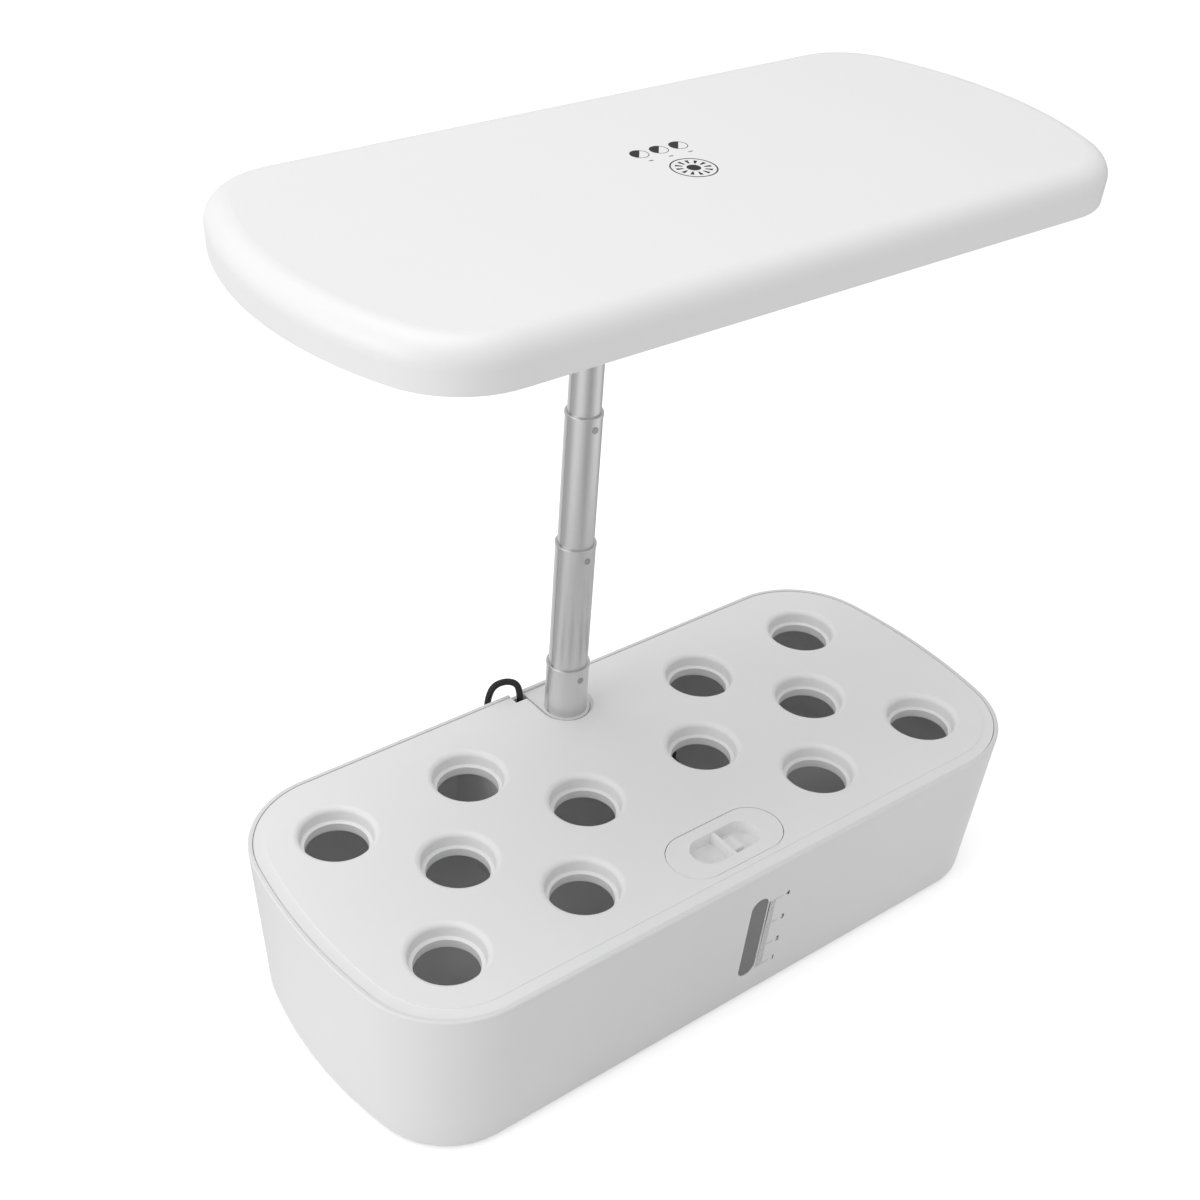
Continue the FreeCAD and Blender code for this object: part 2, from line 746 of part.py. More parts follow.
def make_pump_body():
    """Motor housing with a blind well for the rotor."""
    front, axis_z = pump_faces()
    body = pump_ring(front, pump_y + pump_width / 2)
    well = bar_y(rotor_radius + rotor_clearance, front - 1, front + rotor_length + rotor_clearance, pump_x, axis_z)
    seat = bar_y(shaft_radius, front, front + rotor_length + 4, pump_x, axis_z)
    gland = rod(cord_radius + 1.2, axis_z, tank_floor + pump_stand + pump_height + 4, lead_start()[0], lead_start()[1])
    gland_bore = rod(cord_radius, lead_start()[2], axis_z + 60, lead_start()[0], lead_start()[1])
    return body.fuse(gland).cut([well, seat, gland_bore])


def make_pump_cover():
    """Front cover with the blade chamber, the intake slots and the outlet."""
    front, axis_z = pump_faces()
    cover = pump_ring(front - pump_cover_depth, front)
    chamber = bar_y(blade_radius + 1, front - pump_cover_depth + pump_shell_wall, front + 1, pump_x, axis_z)
    outlet = rod(nozzle_bore, axis_z, axis_z + 40, nozzle_x(), front - pump_cover_depth / 2)
    slots = []
    for row in range(-2, 3):
        z = axis_z + row * 3.4
        slots.append(box(pump_x - 5.5, pump_x + 5.5, front - pump_cover_depth - 1,
                         front - pump_cover_depth + pump_shell_wall + 1, z - 0.8, z + 0.8))
    seat = bar_y(shaft_radius, front - pump_cover_depth + 1, front, pump_x, axis_z)
    return cover.cut([chamber, outlet, seat] + slots)


def make_nozzle():
    """Outlet nozzle pushed into the cover's top."""
    front, axis_z = pump_faces()
    x = nozzle_x()
    y = front - pump_cover_depth / 2
    low = tank_floor + pump_stand + pump_height
    tube = rod(nozzle_radius - 0.5, low, low + nozzle_height, x, y)
    foot = rod(nozzle_radius, low, low + 1.5, x, y)
    return tube.fuse(foot).cut(rod(nozzle_bore, low - 1, low + nozzle_height + 1, x, y))


def make_impeller():
    """Magnet rotor with six blades, free on its shaft."""
    front, axis_z = pump_faces()
    rotor = bar_y(rotor_radius, front + 0.3, front + rotor_length, pump_x, axis_z)
    hub = bar_y(3.0, front - blade_length, front + 0.5, pump_x, axis_z)
    blades = []
    for index in range(blade_count):
        blade = box(pump_x, pump_x + blade_radius, front - blade_length, front - 0.6, axis_z - 0.5, axis_z + 0.5)
        blade.rotate(Vector(pump_x, 0, axis_z), Vector(0, 1, 0), index * 360.0 / blade_count)
        blades.append(blade)
    bore = bar_y(shaft_radius + shaft_fit, front - 20, front + 40, pump_x, axis_z)
    return rotor.fuse([hub] + blades).cut(bore)


def make_pump_shaft():
    """Ceramic pin between the body and the cover."""
    front, axis_z = pump_faces()
    return bar_y(shaft_radius, front - pump_cover_depth + 1, front + rotor_length + 4, pump_x, axis_z)


def make_sponge():
    """Filter sponge over the intake slots."""
    front, axis_z = pump_faces()
    low = front - pump_cover_depth - 6
    body = box(pump_x - 13, pump_x + 13, low, front - pump_cover_depth, axis_z - 11, axis_z + 11)
    return body.makeFillet(2.0, [e for e in body.Edges if e.BoundBox.YMin < low + 0.1])


def make_cups():
    """Four suction cups under the pump."""
    cups = []
    for sx in (1, -1):
        for sy in (1, -1):
            x = pump_x + sx * (pump_length / 2 - 7)
            y = pump_y + sy * (pump_width / 2 - 7)
            cup = Part.makeCone(cup_radius, 2.6, pump_stand, Vector(x, y, tank_floor))
            cups.append(cup)
    return cups


def lead_start():
    """Where the pump lead enters the pump's gland."""
    return (pump_x - 9.0, pump_y + 5.0, tank_floor + pump_stand + pump_height - 1)


def lead_points():
    """The pump lead's route: up the tank, out of the rim slot and down behind."""
    x, y, z = lead_start()
    return [(x, y, z), (x, y, 56), (35.2, 58.0, 70), (28, 52, 79.5), (15.5, 47.2, 82.6), (1.5, 45.2, 81.5),
            (-12.0, 48.0, 77.0), (-19.0, 57.5, 70.5), (-19.2, 69.5, 66.0), (-17.0, 79.0, 70.0),
            (-16.4, 82.8, 80.5), (-16.2, 84.2, 91.0), (-16.2, 86.9, 98.4), (-21.4, 90.4, 101.2),
            (-29.0, 92.2, 99.8), (-32.2, 93.2, 91.8), (-32.4, 92.9, 81.4), (-31.0, 92.0, 70.0),
            (-29.5, 90.9, 60.0), (lead_socket_x, plug_y(), 51.0),
            (lead_socket_x, plug_y(), plug_top() + relief_height - 0.2)]


def cord_path(points):
    """Straight runs joined by tangent arcs, as large as the runs allow."""
    places = [Vector(*p) for p in points]
    edges = []
    radii = []
    start = places[0]
    for before, corner, after in zip(places, places[1:], places[2:]):
        run_in = corner - before
        run_out = after - corner
        shorter = min(run_in.Length, run_out.Length)
        turn = run_in.getAngle(run_out)
        back = 0.45 * shorter
        radius = back / math.tan(turn / 2)
        first = corner - run_in.normalize() * back
        last = corner + run_out.normalize() * back
        inward = (first + last) * 0.5 - corner
        reach = radius / math.cos(turn / 2) - radius
        middle = corner + inward.normalize() * reach
        edges.append(Part.LineSegment(start, first).toShape())
        edges.append(Part.Arc(first, middle, last).toShape())
        radii.append(round(radius, 1))
        start = last
    edges.append(Part.LineSegment(start, places[-1]).toShape())
    return Part.Wire(edges), radii


def make_lead():
    """The pump lead as a round tube along its route."""
    path, radii = cord_path(lead_points())
    first = path.Edges[0]
    direction = first.tangentAt(first.FirstParameter)
    circle = Part.makeCircle(cord_radius, Vector(*lead_points()[0]), direction)
    tube = path.makePipeShell([Part.Wire([circle])], True, False)
    section = math.pi * cord_radius ** 2
    print("lead radii", radii)
    print("lead length", round(path.Length, 1), "volume ratio", round(tube.Volume / section / path.Length, 4))
    return tube


hood_screw_places = ring_places(11.0, 11.0, hood_half_length - hood_draft, hood_half_width - hood_draft, hood_y)
dash_places = [(touch_x + k * dash_pitch, dash_y) for k in (-1, 0, 1)]


def make_hood_shell():
    """Moulded top shell with screw bosses and three indicator slots."""
    form = hood_solid(0, hood_low, hood_high)
    form = form.makeFillet(hood_top_round, level_edges(form, hood_high))
    inside = hood_solid(hood_wall, hood_low - 1, hood_high - hood_wall)
    inside = inside.makeFillet(hood_top_round - hood_wall, level_edges(inside, hood_high - hood_wall))
    shell = form.cut(inside)
    bosses = [rod(hood_boss_radius, hood_base_top, hood_high - hood_wall + 0.5, x, y) for x, y in hood_screw_places]
    bosses = [boss.common(form) for boss in bosses]
    shell = shell.fuse(bosses)
    holes = [rod(screw_radius + screw_slip, hood_base_top - 1, hood_base_top + 12, x, y) for x, y in hood_screw_places]
    slots = [box(x - dash_length / 2, x + dash_length / 2, y - dash_width / 2, y + dash_width / 2,
                 hood_high - 10, hood_high + 1) for x, y in dash_places]
    return shell.cut(holes + slots).removeSplitter()


def light_window(margin, low, high):
    """The light opening's form, grown by a margin."""
    return round_box(-light_half_length - margin, light_half_length + margin, light_front - margin,
                     light_back + margin, low, high, light_corner_radius + margin)


def post_places():
    """Six posts that carry the lamp board."""
    middle = (light_front + light_back) / 2
    reach = (light_back - light_front) / 2 - 3
    return [(x, middle + side * reach) for x in (-light_half_length + 8, 0, light_half_length - 8) for side in (1, -1)]


def make_hood_base():
    """Bottom frame of the hood, with the light opening."""
    plate = hood_solid(hood_wall + slip, hood_base_low, hood_base_top)
    window = light_window(0, hood_base_low - 1, hood_base_top + 1)
    socket = rod(socket_radius + 0.1, hood_base_low - 1, hood_base_top + 1, 0, pole_y)
    holes = [screw_hole(x, y, hood_base_low, hood_base_top + 8) for x, y in hood_screw_places]
    holes += [screw_hole(x, y, hood_base_low, hood_base_top + 3) for x, y in socket_screw_places()]
    frame = plate.cut([window, socket] + holes)
    rails = []
    for side in (1, -1):
        edge = light_back + cover_lap + slip if side > 0 else light_front - cover_lap - slip
        low_y, high_y = (edge, edge + 1.6) if side > 0 else (edge - 1.6, edge)
        rails.append(box(-light_half_length + 20, light_half_length - 20, low_y, high_y, hood_base_top, board_low))
    return frame.fuse(rails).removeSplitter()


def make_led_cover():
    """Clear cover over the light opening, resting on the frame from inside."""
    cover = light_window(cover_lap, hood_base_top, hood_base_top + cover_thickness)
    return cover


def make_led_board():
    """White lamp board on the frame's rails and on the cover's posts."""
    board = light_window(cover_lap + slip + 1.6, board_low, board_top)
    holes = [rod(screw_radius + screw_slip, board_low - 1, board_top + 1, x, y) for x, y in post_places()]
    return board.cut(holes)


def make_posts():
    """Spacers between the clear cover and the lamp board."""
    low = hood_base_top + cover_thickness
    return [rod(post_radius, low, board_low, x, y).cut(rod(screw_radius + screw_slip, low - 1, board_low + 1, x, y))
            for x, y in post_places()]


def led_places():
    """A regular grid of lamps over the board."""
    step_x = 2 * (light_half_length - led_margin_x) / (led_columns - 1)
    step_y = (light_back - light_front - 2 * led_margin_y) / (led_rows - 1)
    return [(-light_half_length + led_margin_x + i * step_x, light_front + led_margin_y + j * step_y)
            for i in range(led_columns) for j in range(led_rows)]


def make_leds():
    """Lamps under the board, two sorts in turn."""
    half = led_size / 2
    return [box(x - half, x + half, y - half, y + half, board_low - led_height, board_low) for x, y in led_places()]


def make_spreader():
    """Aluminium sheet behind the lamp board."""
    sheet = light_window(-board_margin, board_top, board_top + spreader_thickness)
    holes = [rod(screw_radius + screw_slip, board_top - 1, board_top + 5, x, y) for x, y in post_places()]
    return sheet.cut(holes)


def make_board_screws():
    """Screws that hold the sheet and the board to the spacers."""
    screws = []
    top = board_top + spreader_thickness
    for x, y in post_places():
        head = rod(screw_head_radius, top, top + screw_head_height, x, y)
        shank = rod(screw_radius, board_low - board_screw_reach, top + 0.2, x, y)
        cross = box(x - 1.6, x + 1.6, y - 0.3, y + 0.3, top + screw_head_height - 0.6, top + screw_head_height)
        screws.append(head.fuse(shank).cut(cross))
    return screws


def make_driver():
    """Driver board on the sheet and the parts that it carries."""
    low = board_top + spreader_thickness
    top = low + board_thickness
    x = driver_left
    middle = light_back - driver_width
    board = box(x, x + driver_length, middle - driver_width / 2, middle + driver_width / 2, low, top)
    coil = box(x + 8, x + 24, middle - 9, middle + 9, top, top + 5)
    cans = [rod(3.0, top, top + 4.5, x + offset, middle + 8) for offset in (34, 42)]
    bridge = box(x + 52, x + 62, middle - 8, middle + 4, top, top + 3)
    plug = box(x + 70, x + 82, middle - 12, middle + 10, top, top + 4)
    return board, [coil, bridge, plug] + cans


def make_touch_board():
    """Touch board held against the underside of the shell's top."""
    top = hood_high - hood_wall
    board = box(touch_x - touch_board_length / 2, touch_x + touch_board_length / 2,
                touch_y - touch_board_width / 2, touch_y + touch_board_width / 2, top - touch_board_thickness, top)
    return board


def make_light_pipes():
    """Three clear indicator pieces in the shell's slots."""
    low = hood_high - hood_wall
    return [box(x - dash_length / 2 + screw_slip, x + dash_length / 2 - screw_slip, y - dash_width / 2 + screw_slip,
                y + dash_width / 2 - screw_slip, low, hood_high) for x, y in dash_places]


def socket_screw_places():
    """Three screws hold the pole socket to the frame."""
    reach = (socket_radius + socket_flange_radius) / 2
    angles = [math.radians(a) for a in (90, 210, 330)]
    return [(reach * math.cos(a), pole_y + reach * math.sin(a)) for a in angles]


def make_pole_socket():
    """Neck under the hood that takes the top tube, with an inner flange."""
    top = hood_base_low + socket_depth
    neck = rod(socket_radius, hood_low - socket_drop, top + 2, 0, pole_y)
    neck = neck.makeFillet(1.0, level_edges(neck, hood_low - socket_drop))
    flange = rod(socket_flange_radius, hood_base_top, hood_base_top + socket_flange_thickness, 0, pole_y)
    bore = rod(tube_radius(tube_count) + screw_slip, hood_low - socket_drop - 1, top, 0, pole_y)
    wire_hole = rod(wire_hole_radius, top - 1, top + 5, 0, pole_y)
    holes = [rod(screw_radius + screw_slip, hood_base_top - 1, hood_base_top + 6, x, y)
             for x, y in socket_screw_places()]
    return neck.fuse(flange).cut([bore, wire_hole] + holes)


def main():
    os.makedirs("parts", exist_ok=True)
    save("outer_casing", make_casing())
    save("base_plate", make_base_plate())
    save("base_feet", *make_feet())
    save("base_screws", *[screw(x, y, plate_low, lip_top) for x, y in base_screw_places])
    save("water_tank", make_tank())
    window, gasket = make_window()
    save("level_window", window)
    save("window_gasket", gasket)
    save("planting_deck", make_deck())
    save("refill_cover", make_refill_cover())
    save("pole_mount", make_mount())
    save("mount_screws", *[screw(x, y, plate_low, plate_top + mount_screw_length) for x, y in mount_screw_places()])
    make_pole()
    save("supply_inlet", jack(supply_x))
    save("pump_socket", jack(lead_socket_x))
    save("jack_board", make_jack_board())
    save("pump_lead", make_lead())
    save("lead_plug", make_plug())
    save("pump_body", make_pump_body())
    save("pump_cover", make_pump_cover())
    save("pump_nozzle", make_nozzle())
    save("pump_sponge", make_sponge())
    save("pump_cups", *make_cups())
    save("pump_shaft", make_pump_shaft())
    save("impeller", make_impeller())
    save("hood_shell", make_hood_shell())
    save("hood_base", make_hood_base())
    save("hood_screws", *[screw(x, y, hood_base_low, hood_base_top + 8) for x, y in hood_screw_places])
    save("led_cover", make_led_cover())
    save("led_board", make_led_board())
    save("board_posts", *make_posts())
    save("leds", *make_leds())
    save("heat_spreader", make_spreader())
    save("board_screws", *make_board_screws())
    board, parts = make_driver()
    save("driver_board", board)
    save("driver_parts", *parts)
    save("touch_board", make_touch_board())
    save("indicator_lights", *make_light_pipes())
    save("pole_socket", make_pole_socket())
    save("socket_screws", *[screw(x, y, hood_base_low, hood_base_top + 3) for x, y in socket_screw_places()])


main()
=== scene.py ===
import bpy
import json
import math
from mathutils import Matrix, Vector


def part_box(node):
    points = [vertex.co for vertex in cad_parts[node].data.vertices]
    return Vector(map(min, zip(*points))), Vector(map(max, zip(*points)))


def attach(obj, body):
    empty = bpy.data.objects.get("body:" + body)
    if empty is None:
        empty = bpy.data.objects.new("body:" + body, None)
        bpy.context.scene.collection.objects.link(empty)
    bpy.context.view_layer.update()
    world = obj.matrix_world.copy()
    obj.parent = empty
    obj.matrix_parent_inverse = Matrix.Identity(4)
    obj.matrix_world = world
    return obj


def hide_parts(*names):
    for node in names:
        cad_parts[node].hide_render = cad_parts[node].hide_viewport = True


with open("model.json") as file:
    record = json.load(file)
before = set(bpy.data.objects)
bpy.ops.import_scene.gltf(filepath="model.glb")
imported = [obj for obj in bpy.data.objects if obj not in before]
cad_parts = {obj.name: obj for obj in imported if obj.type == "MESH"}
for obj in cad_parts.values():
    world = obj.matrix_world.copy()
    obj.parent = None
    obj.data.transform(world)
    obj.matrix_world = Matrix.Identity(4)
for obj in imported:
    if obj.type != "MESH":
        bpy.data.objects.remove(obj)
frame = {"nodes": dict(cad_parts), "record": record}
bpy.context.view_layer.update()
nodes = frame["nodes"]
deck_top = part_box("outer_casing")[1].z
hood_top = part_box("hood_shell")[1].z
pole_centre_y = (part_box("tube_1")[0].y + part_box("tube_1")[1].y) / 2

# Camera, solved from the holes of the deck
image_pixels = 1200
focal_pixels = 1801.0
sensor_mm = 36.0
camera_azimuth = math.radians(-40.403)
camera_elevation = math.radians(34.708)
camera_roll = math.radians(4.323)
camera_distance = 0.89801
camera_shift_right = -0.022655
camera_shift_up = 0.085532
camera_near = 0.05
camera_far = 30.0

# Pump lead: length, thickness and route, the part's own with the loop drawn in a little
lead_diameter = 0.0035
lead_roundness = 6
lead_steps = 24
lead_route = [
    (0.0370, 0.0610, 0.0405), (0.0370, 0.0610, 0.0560), (0.0352, 0.0580, 0.0700),
    (0.0280, 0.0520, 0.0795), (0.0155, 0.0472, 0.0826), (0.0015, 0.0452, 0.0815),
    (-0.0120, 0.0480, 0.0770), (-0.0190, 0.0575, 0.0705), (-0.0192, 0.0695, 0.0660),
    (-0.0170, 0.0790, 0.0700), (-0.0164, 0.0828, 0.0805), (-0.0162, 0.0842, 0.0910),
    (-0.0162, 0.0869, 0.0974), (-0.0210, 0.0904, 0.0990), (-0.0276, 0.0922, 0.0976),
    (-0.0302, 0.0932, 0.0908), (-0.0312, 0.0929, 0.0812), (-0.0310, 0.0920, 0.0700),
    (-0.0295, 0.0909, 0.0600), (-0.0280, 0.0893, 0.0510), (-0.0280, 0.0893, 0.0423)]

# Marks on the lamp's top, in metres; mark_x, sun_y and timer_y are places on the hood
ink_thickness = 0.00005
mark_x = 0.0017
sun_y = 0.0088
sun_radius = 0.010
sun_line = 0.0006
sun_core = 0.0030
ray_count = 12
ray_start = 0.0046
ray_end = 0.0077
ray_half_start = 0.0003
ray_half_end = 0.00080
timer_y = 0.0311
timer_pitch = 0.0104
timer_radius = 0.00415
timer_line = 0.0003
timer_turn = math.radians(50.0)
timer_gap = math.radians(0.5)
arc_steps = 64

# Level scale beside the window, in metres below the casing's top and from the middle
scale_x = 0.0085
scale_high = 0.0241
scale_low = 0.0712
scale_line = 0.00060
tick_pitch = 0.00098
tick_length = 0.0036
tick_line = 0.00040
level_drops = {4: 0.0245, 3: 0.0410, 2: 0.0570, 1: 0.0710}
level_length = 0.0082
level_line = 0.0007
number_weight = 0.00012
number_x = 0.0195
number_size = 0.0042
before_wall_y = -0.3

# Room, floor and lamps: each lamp's place, its width and height, and its watts
white = (1.0, 1.0, 1.0, 1.0)
room_strength = 0.60
floor_size = 16.0
floor_white = (0.86, 0.86, 0.86, 1.0)
floor_glow = 0.45
lamp_aim = (0.0, 0.0, 0.2)
lamps = {
    "lamp_above": ((-0.3, 0.2, 1.9), (1.6, 1.2), 11.2),
    "lamp_left": ((-1.7, 0.15, 0.7), (1.2, 1.0), 7.5),
    "lamp_front": ((0.5, -1.9, 0.9), (1.2, 1.0), 0.8),
}

# Pale and darker panels round the pole, which only mirroring surfaces see
panel_count = 3.0
panel_turn = math.radians(200.0)
panel_dark = 0.42
panel_bright = 0.95

# Patterns of the finishes: scales in waves per metre, depths in metres, shifts of the roughness
screen_gamma = 2.2
cloud_scale = 14.0
grain_strength = 0.35
grain_shift = 0.08
hairline_scale = (2600.0, 2600.0, 9.0)
hairline_strength = 0.15
hairline_depth = 0.00001
hairline_shift = 0.16
band_scale = (160.0, 160.0, 1.2)
dust_scale = 220.0
dust_strength = 0.3
dust_depth = 0.00003
dust_shift = 0.15
haze_scale = 30.0
ink_grain = 2400.0
smooth_depth = 0.000004


class Value:
    """A number or colour in a shader; arithmetic on it adds Math nodes."""

    def __init__(self, paint, socket):
        self.paint = paint
        self.socket = socket

    def math(self, operation, other=None, swap=False):
        """A Math node on this value, or on another and this one."""
        pair = (other, self) if swap else (self, other)
        inputs = {i: value for i, value in enumerate(pair) if value is not None}
        return self.paint.node("ShaderNodeMath", {"operation": operation}, inputs)

    def __add__(self, other):
        return self.math("ADD", other)

    def __radd__(self, other):
        return self.math("ADD", other)

    def __sub__(self, other):
        return self.math("SUBTRACT", other)

    def __rsub__(self, other):
        return self.math("SUBTRACT", other, swap=True)

    def __mul__(self, other):
        return self.math("MULTIPLY", other)

    def __rmul__(self, other):
        return self.math("MULTIPLY", other)

    def part(self, name):
        """Another output of the same node, by name or number."""
        return Value(self.paint, self.socket.node.outputs[name])


class Paint:
    """The nodes of a material or world, and the one way that they are added."""

    def __init__(self, owner):
        owner.use_nodes = True
        self.owner = owner
        self.tree = owner.node_tree
        self.tree.nodes.clear()

    def node(self, kind, settings=None, inputs=None):
        """One node: its settings first, then the values or links of its sockets."""
        made = self.tree.nodes.new(kind)
        for key, value in (settings or {}).items():
            setattr(made, key, value)
        for key, value in (inputs or {}).items():
            if isinstance(value, Value):
                self.tree.links.new(value.socket, made.inputs[key])
            else:
                made.inputs[key].default_value = value
        return Value(self, made.outputs[0]) if made.outputs else None

    def place(self, scale=None):
        """Object coordinates, scaled by axis where a scale is given."""
        place = self.node("ShaderNodeTexCoord").part("Object")
        if scale is None:
            return place
        return self.node("ShaderNodeMapping", None, {"Vector": place, "Scale": scale})

    def noise(self, place, scale, detail, roughness=0.5):
        """Noise from 0 to 1."""
        inputs = {"Vector": place, "Scale": scale, "Detail": detail, "Roughness": roughness}
        return self.node("ShaderNodeTexNoise", None, inputs)

    def mix(self, factor, first, second):
        """One colour turning to another, through the Mix node's colour sockets."""
        inputs = {0: factor, 6: (*first, 1.0), 7: (*second, 1.0)}
        return self.node("ShaderNodeMix", {"data_type": "RGBA"}, inputs).part(2)

    def bump(self, height, strength, distance):
        """A normal that follows a height in metres of distance."""
        inputs = {"Height": height, "Strength": strength, "Distance": distance}
        return self.node("ShaderNodeBump", None, inputs)

    def surface(self, **inputs):
        """The shader itself; values that are the same all over are set on its sockets."""
        sockets = {key.replace("_", " ").title(): value for key, value in inputs.items()}
        shader = self.node("ShaderNodeBsdfPrincipled", None, sockets)
        self.node("ShaderNodeOutputMaterial", None, {"Surface": shader})
        return self.owner


def colour(level, warmth=0.0):
    """A grey, or a warmer tone, from its level on a screen, 0 to 1."""
    linear = level ** screen_gamma
    return (linear * (1 + warmth), linear, linear * (1 - warmth))


def plastic(name, level, roughness, grain=900.0, depth=0.00002, drift=0.02, warmth=0.0, glow=0.0):
    """Moulded plastic: a fine spark-eroded grain and a faint drift in tone; glow paints light into it as
    white emission, though it is no lamp.
    """
    paint = Paint(bpy.data.materials.new(name))
    place = paint.place()
    cloud = paint.noise(place, cloud_scale, detail=3.0)
    fine = paint.noise(place, grain, detail=2.0, roughness=0.6)
    base = paint.mix(cloud, colour(level * (1 - drift), warmth), colour(level * (1 + drift), warmth))
    return paint.surface(base_color=base, roughness=roughness + (fine - 0.5) * grain_shift,
                         normal=paint.bump(fine, grain_strength, depth),
                         emission_color=white, emission_strength=glow)


def satin_metal(name, level, roughness):
    """Drawn tube: hairlines along its length and slow bands round it."""
    paint = Paint(bpy.data.materials.new(name))
    hairline = paint.noise(paint.place(hairline_scale), 1.0, detail=2.0)
    band = paint.noise(paint.place(band_scale), 1.0, detail=1.0)
    base = paint.mix(hairline * 0.5 + band * 0.5, colour(level * 0.96), colour(level * 1.03))
    return paint.surface(base_color=base, metallic=1.0,
                         roughness=roughness + (hairline - 0.5) * hairline_shift,
                         normal=paint.bump(hairline, hairline_strength, hairline_depth))


def rubber(name, level, roughness=0.6):
    """Soft black rubber or PVC with a dull, slightly dusty skin."""
    paint = Paint(bpy.data.materials.new(name))
    dust = paint.noise(paint.place(), dust_scale, detail=4.0, roughness=0.65)
    base = paint.mix(dust, colour(level * 0.85), colour(level * 1.2))
    return paint.surface(base_color=base, roughness=roughness + (dust - 0.5) * dust_shift,
                         normal=paint.bump(dust, dust_strength, dust_depth))


def clear(name, level, roughness, alpha):
    """Clear moulding with a faint haze."""
    paint = Paint(bpy.data.materials.new(name))
    haze = paint.noise(paint.place(), haze_scale, detail=2.0)
    base = paint.mix(haze, colour(level * 0.97), colour(level))
    return paint.surface(base_color=base, roughness=roughness, alpha=alpha)


# Finishes by the record's slots: level, roughness, and what sets a finish apart
finishes = {
    "casing_white": plastic("casing_white_matt", 0.91, 0.42, drift=0.006),
    "deck_white": plastic("deck_white_matt", 0.955, 0.46, drift=0.008),
    "hood_white": plastic("hood_white_satin", 0.94, 0.38, drift=0.005),
    "inner_white": plastic("inner_white_matt", 0.92, 0.5),
    # The tank's plastic glows faintly though it is no lamp: painted light on its smoke-grey surface
    "tank_smoke": plastic("tank_smoke_grey_painted_glow", 0.86, 0.35, drift=0.03, glow=0.015),
    "window_smoke": plastic("window_smoke_grey", 0.47, 0.25, depth=smooth_depth),
    "seal_rubber": rubber("seal_rubber_black", 0.12),
    "foot_rubber": rubber("foot_rubber_black", 0.14),
    "screw_steel": satin_metal("screw_zinc", 0.72, 0.35),
    "tube_steel": satin_metal("tube_satin_steel", 0.86, 0.36),
    "bush_plastic": plastic("bush_natural", 0.85, 0.45, warmth=0.02),
    "pump_black": plastic("pump_black_matt", 0.13, 0.45),
    "cord_black": rubber("cord_black_pvc", 0.10, 0.5),
    "sponge_black": rubber("sponge_open_black", 0.12, 0.9),
    "rotor_grey": plastic("rotor_grey_matt", 0.35, 0.4),
    "ceramic": plastic("ceramic_ground", 0.93, 0.25),
    "board_white": plastic("board_white_mask", 0.92, 0.3),
    "board_green": plastic("board_green_mask", 0.4, 0.3),
    "lamp_yellow": plastic("lamp_phosphor", 0.85, 0.2, warmth=0.2),
    "clear_cover": clear("cover_clear", 0.95, 0.08, 0.3),
    "aluminium": satin_metal("sheet_aluminium", 0.85, 0.35),
    "component_dark": plastic("component_dark", 0.18, 0.4),
    "indicator_clear": plastic("indicator_lens", 0.45, 0.2),
}
rivet_steel = satin_metal("rivet_steel", 0.68, 0.45)
ink_dark = plastic("ink_dark", 0.13, 0.6, grain=ink_grain, depth=smooth_depth, drift=0.08)
ink_grey = plastic("ink_grey", 0.22, 0.6, grain=ink_grain, depth=smooth_depth, drift=0.10)


def dress_frame():
    """Every carried-over piece gets the finish of its slot, the pole's rivets a duller steel."""
    slots = {row["node"]: row["material_slot"] for row in frame["record"]["subparts"]}
    for name, piece in nodes.items():
        piece.data.materials.clear()
        piece.data.materials.append(rivet_steel if name.endswith("_rivet") else finishes[slots[name]])


def only(piece):
    """Leaves one object selected and active."""
    bpy.ops.object.select_all(action="DESELECT")
    piece.select_set(True)
    bpy.context.view_layer.objects.active = piece


def add(name, data):
    """A new object in the scene."""
    piece = bpy.data.objects.new(name, data)
    bpy.context.scene.collection.objects.link(piece)
    return piece


def as_mesh(piece):
    """The object with its text or curve made a mesh."""
    only(piece)
    bpy.ops.object.convert(target="MESH")
    return bpy.context.object


def move_points(piece, shape):
    """Every point of the object's mesh sent through shape."""
    for vertex in piece.data.vertices:
        vertex.co = shape(*vertex.co)
    piece.data.update()


def circle(radius, x=0.0, first=0.0, sweep=2 * math.pi):
    """Points on a circle or on an arc of it."""
    count = arc_steps if sweep >= 2 * math.pi else arc_steps + 1
    angles = [first + sweep * i / arc_steps for i in range(count)]
    return [(x + radius * math.cos(angle), radius * math.sin(angle)) for angle in angles]


def bar(x0, x1, y0, y1):
    """A rectangle's outline."""
    return [(x0, y0), (x1, y0), (x1, y1), (x0, y1)]


def ink(name, outlines):
    """Flat outlines, filled where they don't lie in one another, as a thin mesh."""
    data = bpy.data.curves.new(name, "CURVE")
    data.dimensions = "2D"
    data.fill_mode = "BOTH"
    data.extrude = ink_thickness / 2
    for points in outlines:
        spline = data.splines.new("POLY")
        spline.points.add(len(points) - 1)
        for point, (x, y) in zip(spline.points, points):
            point.co = (x, y, 0.0, 1.0)
        spline.use_cyclic_u = True
    return as_mesh(add(name, data))


def sun_outlines():
    """A ring, a full disc and rays that widen outwards."""
    outlines = [circle(sun_radius), circle(sun_radius - sun_line), circle(sun_core)]
    for i in range(ray_count):
        angle = 2 * math.pi * (i + 0.5) / ray_count
        along = Vector((math.cos(angle), math.sin(angle)))
        aside = Vector((-along.y, along.x))
        corners = [along * ray_start - aside * ray_half_start, along * ray_end - aside * ray_half_end,
                   along * ray_end + aside * ray_half_end, along * ray_start + aside * ray_half_start]
        outlines.append([tuple(corner) for corner in corners])
    return outlines


